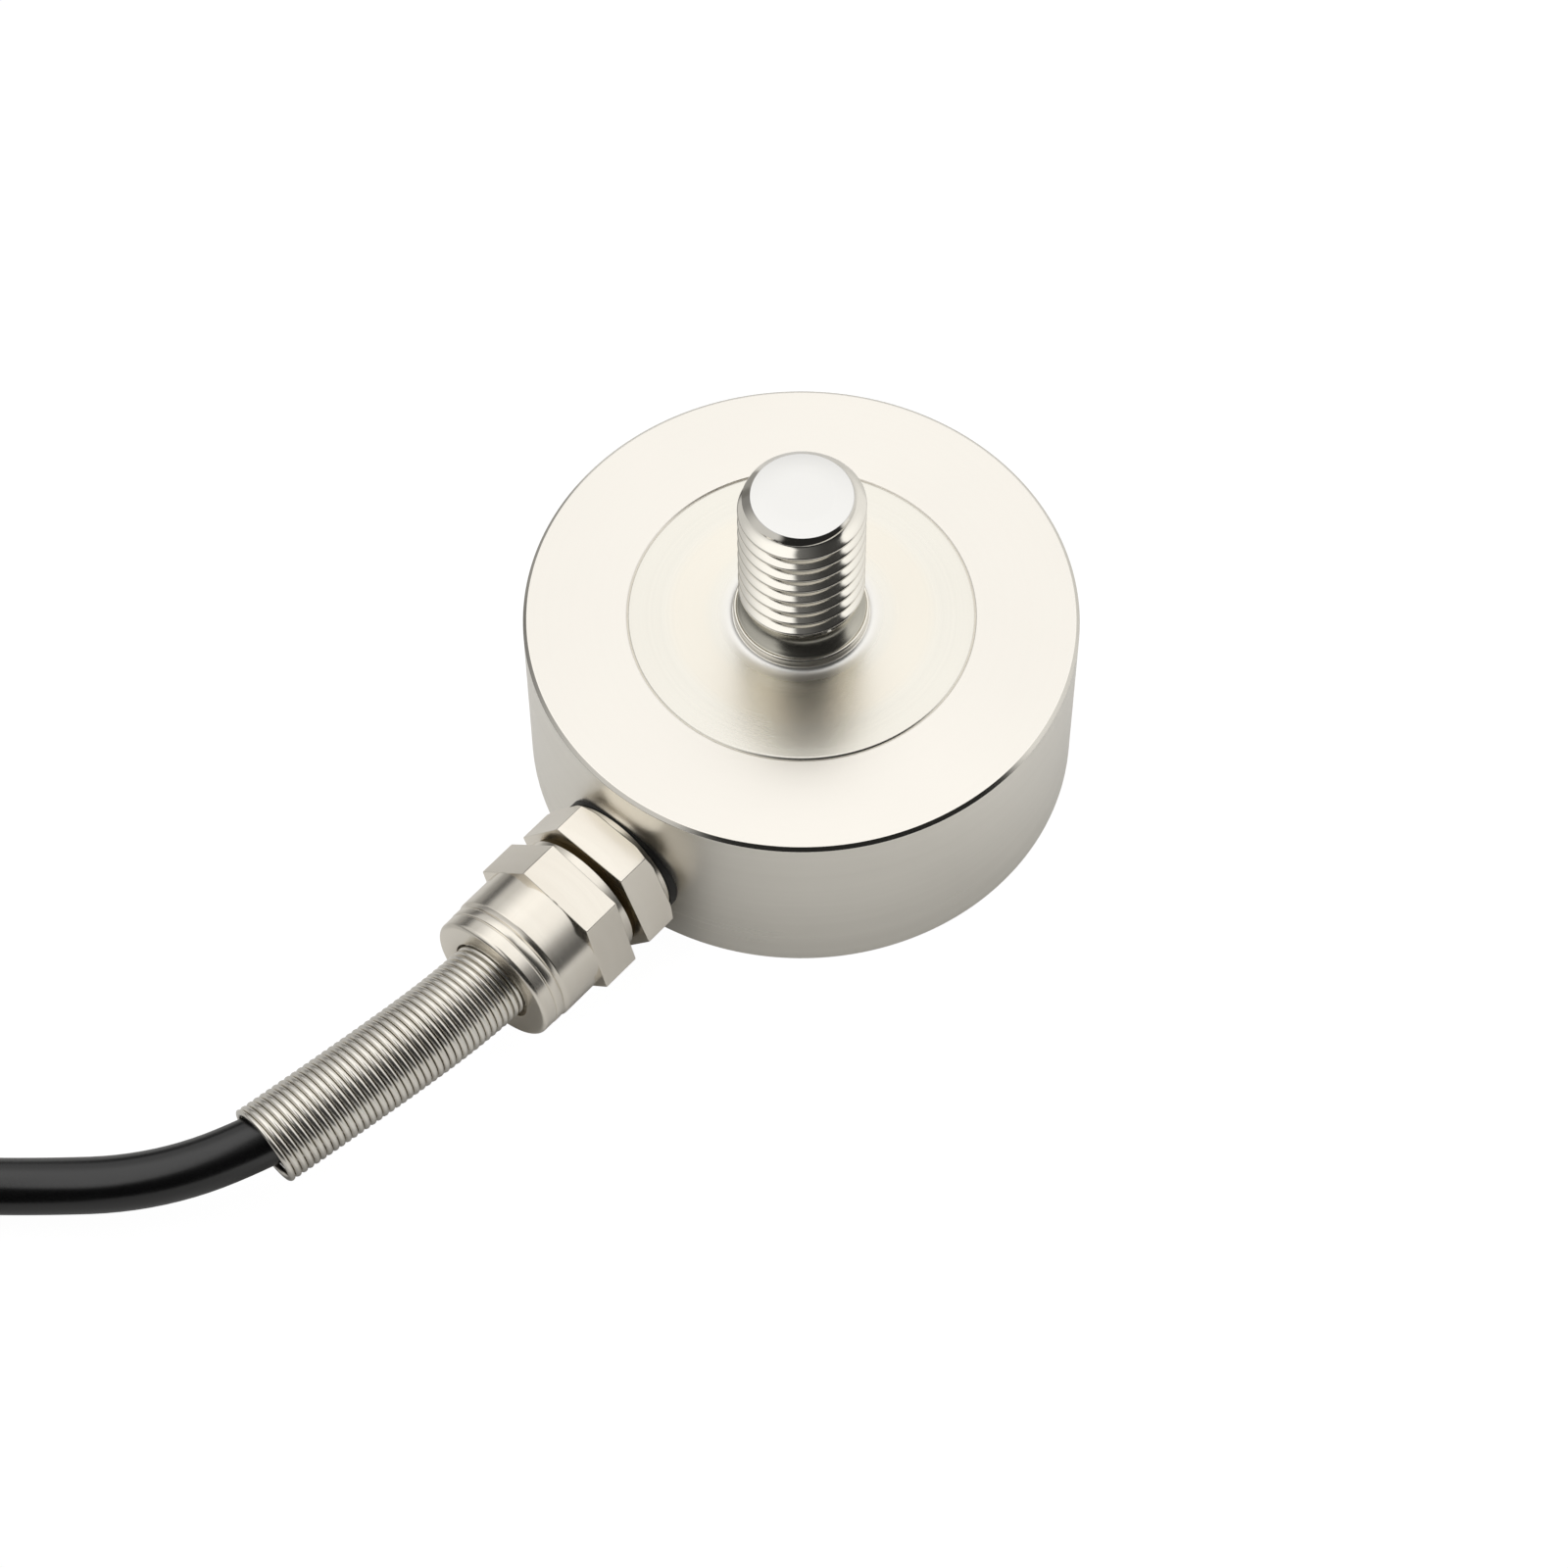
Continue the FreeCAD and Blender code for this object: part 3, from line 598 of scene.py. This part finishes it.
M = {
    "body": metal("turned_steel", (0.845, 0.815, 0.745), (0.815, 0.785, 0.715), 0.30, 0.04, aniso=0.45, zones=(
        (16.4, 26.15, 19.8, 21.0, 0.30, (0.868, 0.835, 0.775), 0.3),   # ring face, with a lighter tint as painted light on the top face
        (26.1, 27.0, 19.6, 21.0, 0.15, None, 0.0),                     # edge of the ring face
        (-1.0, 6.8, 19.9, 40.0, 0.10, None, 0.0),                      # stud
        (-1.0, 6.8, 19.9, 23.1, 0.20, None, 0.0),                      # collar
        (-1.0, 6.13, 21.3, 23.2, 0.24, (0.56, 0.54, 0.47), 0.0),       # flare, tinted darker as a painted reflection: painted shade
        (-1.0, 4.86, 38.95, 40.0, 0.20, (0.78, 0.774, 0.757), 0.0))),  # end disc
    "plate": metal("plate_steel", (0.835, 0.81, 0.742), (0.805, 0.78, 0.71), 0.26, 0.03, aniso=0.4, soft=0.8, zones=(
        (8.9, 12.6, 19.9, 20.2, 0.26, (0.84, 0.80, 0.715), 0.4),       # warmer tint
        (5.5, 7.4, 19.9, 20.4, 0.42, (0.96, 0.945, 0.91), 0.0))),      # whiter as a painted highlight, and duller, next to the collar
    "cover": metal("cover_steel", (0.74, 0.73, 0.71), (0.66, 0.65, 0.63), 0.32, 0.05),
    # nickel: the thread between the hexagon and the nut is tinted dark brown as painted shade in the gap
    "nickel": metal("nickel_plate", (0.845, 0.80, 0.718), (0.80, 0.75, 0.665), 0.235, 0.03, axis="X", ring_scale=3000.0, bump=0.03,
                    zones=((-1.0, 6.3, -32.9, -31.1, 0.5, (0.36, 0.29, 0.17), 0.0),)),
    "spring": metal("spring_wire", (0.86, 0.83, 0.765), (0.79, 0.755, 0.69), 0.25, 0.04, axis="X", ring_scale=900.0, bump=0.02),
    "jacket": plastic("cable_jacket", (0.006, 0.006, 0.0065), (0.0045, 0.0045, 0.005), 0.24, 2500.0, 0.05, 0.75, 0.04),
    "rubber": plastic("seal_rubber", (0.016, 0.016, 0.016), (0.010, 0.010, 0.010), 0.55),
    "tie": plastic("tie_nylon", (0.025, 0.025, 0.026), (0.018, 0.018, 0.019), 0.33, 1500.0, 0.05),
    "shrink": plastic("shrink_sleeve", (0.02, 0.02, 0.02), (0.013, 0.013, 0.013), 0.45, 1800.0, 0.1),
    "clamp": plastic("clamp_nylon", (0.80, 0.78, 0.72), (0.74, 0.72, 0.66), 0.38),
    "foil": plastic("gauge_film", (0.62, 0.36, 0.10), (0.50, 0.27, 0.07), 0.30),
    "copper": metal("copper_wire", (0.80, 0.45, 0.27), (0.66, 0.34, 0.19), 0.28, 0.05),
    "pad": plastic("foam_pad", (0.52, 0.52, 0.49), (0.42, 0.42, 0.40), 0.8, 900.0, 0.4),
    "board": plastic("board_mask", (0.03, 0.20, 0.09), (0.02, 0.15, 0.07), 0.35),
    "solder": metal("solder_metal", (0.72, 0.72, 0.71), (0.60, 0.60, 0.60), 0.25, 0.06),
    "chip": plastic("chip_glaze", (0.03, 0.03, 0.035), (0.02, 0.02, 0.024), 0.25),
    "red": plastic("core_red", (0.48, 0.03, 0.025), (0.38, 0.02, 0.02), 0.38),
    "black": plastic("core_black", (0.02, 0.02, 0.02), (0.013, 0.013, 0.013), 0.40),
    "green": plastic("core_green", (0.03, 0.27, 0.08), (0.02, 0.20, 0.06), 0.38),
    "white": plastic("core_white", (0.80, 0.80, 0.77), (0.72, 0.72, 0.69), 0.38),
    "tinned": metal("tinned_strands", (0.74, 0.74, 0.73), (0.58, 0.58, 0.58), 0.28, 0.06, ring_scale=2500.0, bump=0.2),
}


def wear(ob, key):
    ob.data.materials.clear()
    ob.data.materials.append(M[key])


for ob, key, slot, stands_for in (
    (body, "body", "turned_steel", ("sensor_body",)),
    (plate, "plate", "plate_steel", ("top_seal_plate",)),
    (gland_body, "nickel", "nickel", ("gland_body",)),
    (gland_nut, "nickel", "nickel", ("gland_nut",)),
    (washer, "nickel", "nickel", ("gland_washer",)),
    (spring, "spring", "spring_steel", ("spring_guard",)),
    (cable, "jacket", "jacket", ("cable_lead", "cable_coil")),
):
    wear(ob, key)
    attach(ob, "root")
    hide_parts(*stands_for)

for node, key in {
    "bottom_cover": "cover", "strain_gauges": "foil", "gauge_leads": "copper", "board_pad": "pad", "terminal_board": "board",
    "solder_terminals": "solder", "trim_resistors": "chip", "wire_red": "red", "wire_black": "black", "wire_green": "green",
    "wire_white": "white", "gland_o_ring": "rubber", "gland_seal_insert": "rubber", "gland_clamp_ring": "clamp",
    "cable_inner_end": "jacket", "cable_tie": "tie", "end_sleeve": "shrink", "lead_red": "red", "lead_black": "black",
    "lead_green": "green", "lead_white": "white", "lead_drain": "tinned", "lead_tips": "tinned",
}.items():
    wear(nodes[node], key)

# ------------------------------------------------------------------ floor and light
bm = bmesh.new()
bmesh.ops.create_grid(bm, x_segments=8, y_segments=8, size=1.5)
floor_mesh = bpy.data.meshes.new("floor")
bm.to_mesh(floor_mesh)
bm.free()
floor = bpy.data.objects.new("floor", floor_mesh)
floor.location = (0, 0, -0.00005)
scene.collection.objects.link(floor)
fm = bpy.data.materials.new("floor_white")
fm.use_nodes = True
n = Nodes(fm.node_tree)
fm.node_tree.nodes.clear()
x, y, z = split(n, n.new("ShaderNodeTexCoord").outputs["Object"])
across = n.math("ADD", n.math("MULTIPLY", x, RIGHT.x), n.math("MULTIPLY", y, RIGHT.y))       # metres to the right
CH = Vector((math.sin(AZ), -math.cos(AZ)))       # level direction towards the camera
behind = n.math("SUBTRACT", 0.0, n.math("ADD", n.math("MULTIPLY", x, CH.x), n.math("MULTIPLY", y, CH.y)))
# painted shade: the floor's colour turns darker from 36-50 mm to the left, more so further back, and dark from 130-260
# mm to the left
painted_shade_fade = n.math("MULTIPLY", n.ramp(across, -0.050, -0.036, 1.0, 0.0), n.ramp(behind, 0.0, 0.02, 0.4, 0.75))
painted_shade_fade = n.math("MULTIPLY", n.ramp(across, -0.26, -0.13), n.math("SUBTRACT", 1.0, painted_shade_fade))
diffuse = n.new("ShaderNodeBsdfDiffuse")
n.put(diffuse.inputs[0], n.mix(painted_shade_fade, (0.28, 0.275, 0.265, 1), (0.81, 0.805, 0.79, 1)))
glow = n.new("ShaderNodeEmission")
glow.inputs[0].default_value = (1, 1, 1, 1)
glow.inputs[1].default_value = 1.15
seen = n.new("ShaderNodeLightPath").outputs["Is Camera Ray"]
# painted light: rays other than the camera's see the floor glow, more on the left and on the right, dimmed with the
# painted shade
painted_glow = n.math("ADD", 0.14, n.math("ADD", n.ramp(across, -0.032, -0.014, 0.13, 0.0), n.ramp(across, 0.018, 0.034, 0.0, 0.11)))
# painted shadow: the painted glow is taken away under the gland
painted_shadow_under_gland = n.math("MULTIPLY", n.ramp(n.math("ABSOLUTE", y), 0.004, 0.011, 1.0, 0.0), n.math("MULTIPLY", n.ramp(x, -0.080, -0.072), n.ramp(x, -0.030, -0.024, 1.0, 0.0)))
painted_glow = n.math("MULTIPLY", painted_glow, n.math("MULTIPLY", painted_shade_fade, n.math("SUBTRACT", 1.0, painted_shadow_under_gland)))
seen = n.math("ADD", painted_glow, n.math("MULTIPLY", seen, n.math("SUBTRACT", 0.85, painted_glow)))
ms = n.new("ShaderNodeMixShader")
n.put(ms.inputs[0], seen)
n.put(ms.inputs[1], diffuse.outputs[0])
n.put(ms.inputs[2], glow.outputs[0])
n.put(n.new("ShaderNodeOutputMaterial").inputs[0], ms.outputs[0])
floor.data.materials.append(fm)

world = bpy.data.worlds.new("studio")
scene.world = world
world.use_nodes = True
n = Nodes(world.node_tree)
world.node_tree.nodes.clear()
d = n.new("ShaderNodeTexCoord").outputs["Generated"]
x, y, z = split(n, d)
u = n.math("ADD", n.math("MULTIPLY", x, RIGHT.x), n.math("MULTIPLY", y, RIGHT.y))
w = n.math("ADD", n.math("MULTIPLY", x, CH.x), n.math("MULTIPLY", y, CH.y))
az = n.math("MULTIPLY", n.math("ARCTAN2", u, w), 180 / math.pi)
el = n.math("MULTIPLY", n.math("ARCSINE", z), 180 / math.pi)
# soft tent, brighter towards its top and on the right, with the dark opening in front
edge = n.math("ADD", -38.0, n.math("SUBTRACT", n.math("MULTIPLY", n.math("MAXIMUM", n.math("SUBTRACT", el, 32.0), 0.0), 0.5), n.math("MULTIPLY", n.math("MAXIMUM", n.math("SUBTRACT", el, 62.0), 0.0), 2.0)))
gap = n.math("MULTIPLY", n.ramp(n.math("SUBTRACT", az, edge), -8.0, 8.0), n.ramp(az, 72.0, 78.0, 1.0, 0.0))
gap = n.math("MAXIMUM", gap, n.ramp(el, 77.0, 83.0))
tent = n.math("ADD", 0.25, n.math("ADD", n.ramp(el, 4.0, 20.0, 0.0, 0.40), n.ramp(el, 30.0, 56.0, 0.0, 0.56)))
fold = n.math("MULTIPLY", n.math("MULTIPLY", n.ramp(az, -172.0, -162.0), n.ramp(az, -146.0, -136.0, 1.0, 0.0)), n.ramp(el, 10.0, 18.0, 1.0, 0.0))
tent = n.math("MULTIPLY", tent, n.math("SUBTRACT", 1.0, n.math("MULTIPLY", fold, 0.75)))
right = n.math("ADD", n.ramp(el, 5.0, 25.0, 0.75, 0.92), n.ramp(el, 30.0, 56.0, 0.0, 0.24))
side = n.math("MULTIPLY", n.ramp(az, 76.0, 84.0), n.ramp(az, 150.0, 175.0, 1.0, 0.0))
level = n.math("ADD", tent, n.math("MULTIPLY", side, n.math("SUBTRACT", right, tent)))
dim = n.math("SUBTRACT", 0.975, n.math("MULTIPLY", n.ramp(el, 42.0, 60.0, 0.0, 0.10), n.ramp(az, -25.0, 45.0, 1.0, 0.15)))
strength = n.math("MAXIMUM", 0.02, n.math("MULTIPLY", level, n.math("SUBTRACT", 1.0, n.math("MULTIPLY", gap, dim))))
bg = n.new("ShaderNodeBackground")
bg.inputs[0].default_value = (1.0, 0.995, 0.985, 1)
n.put(bg.inputs[1], strength)
plain = n.new("ShaderNodeBackground")
plain.inputs[0].default_value = (1, 1, 1, 1)
plain.inputs[1].default_value = 1.0
ms = n.new("ShaderNodeMixShader")
n.put(ms.inputs[0], n.new("ShaderNodeLightPath").outputs["Is Camera Ray"])
n.put(ms.inputs[1], bg.outputs[0])
n.put(ms.inputs[2], plain.outputs[0])
n.put(n.new("ShaderNodeOutputWorld").inputs[0], ms.outputs[0])

scene.view_settings.view_transform = "Standard"
scene.view_settings.look = "None"
scene.view_settings.exposure = 0.0
scene.view_settings.gamma = 1.0
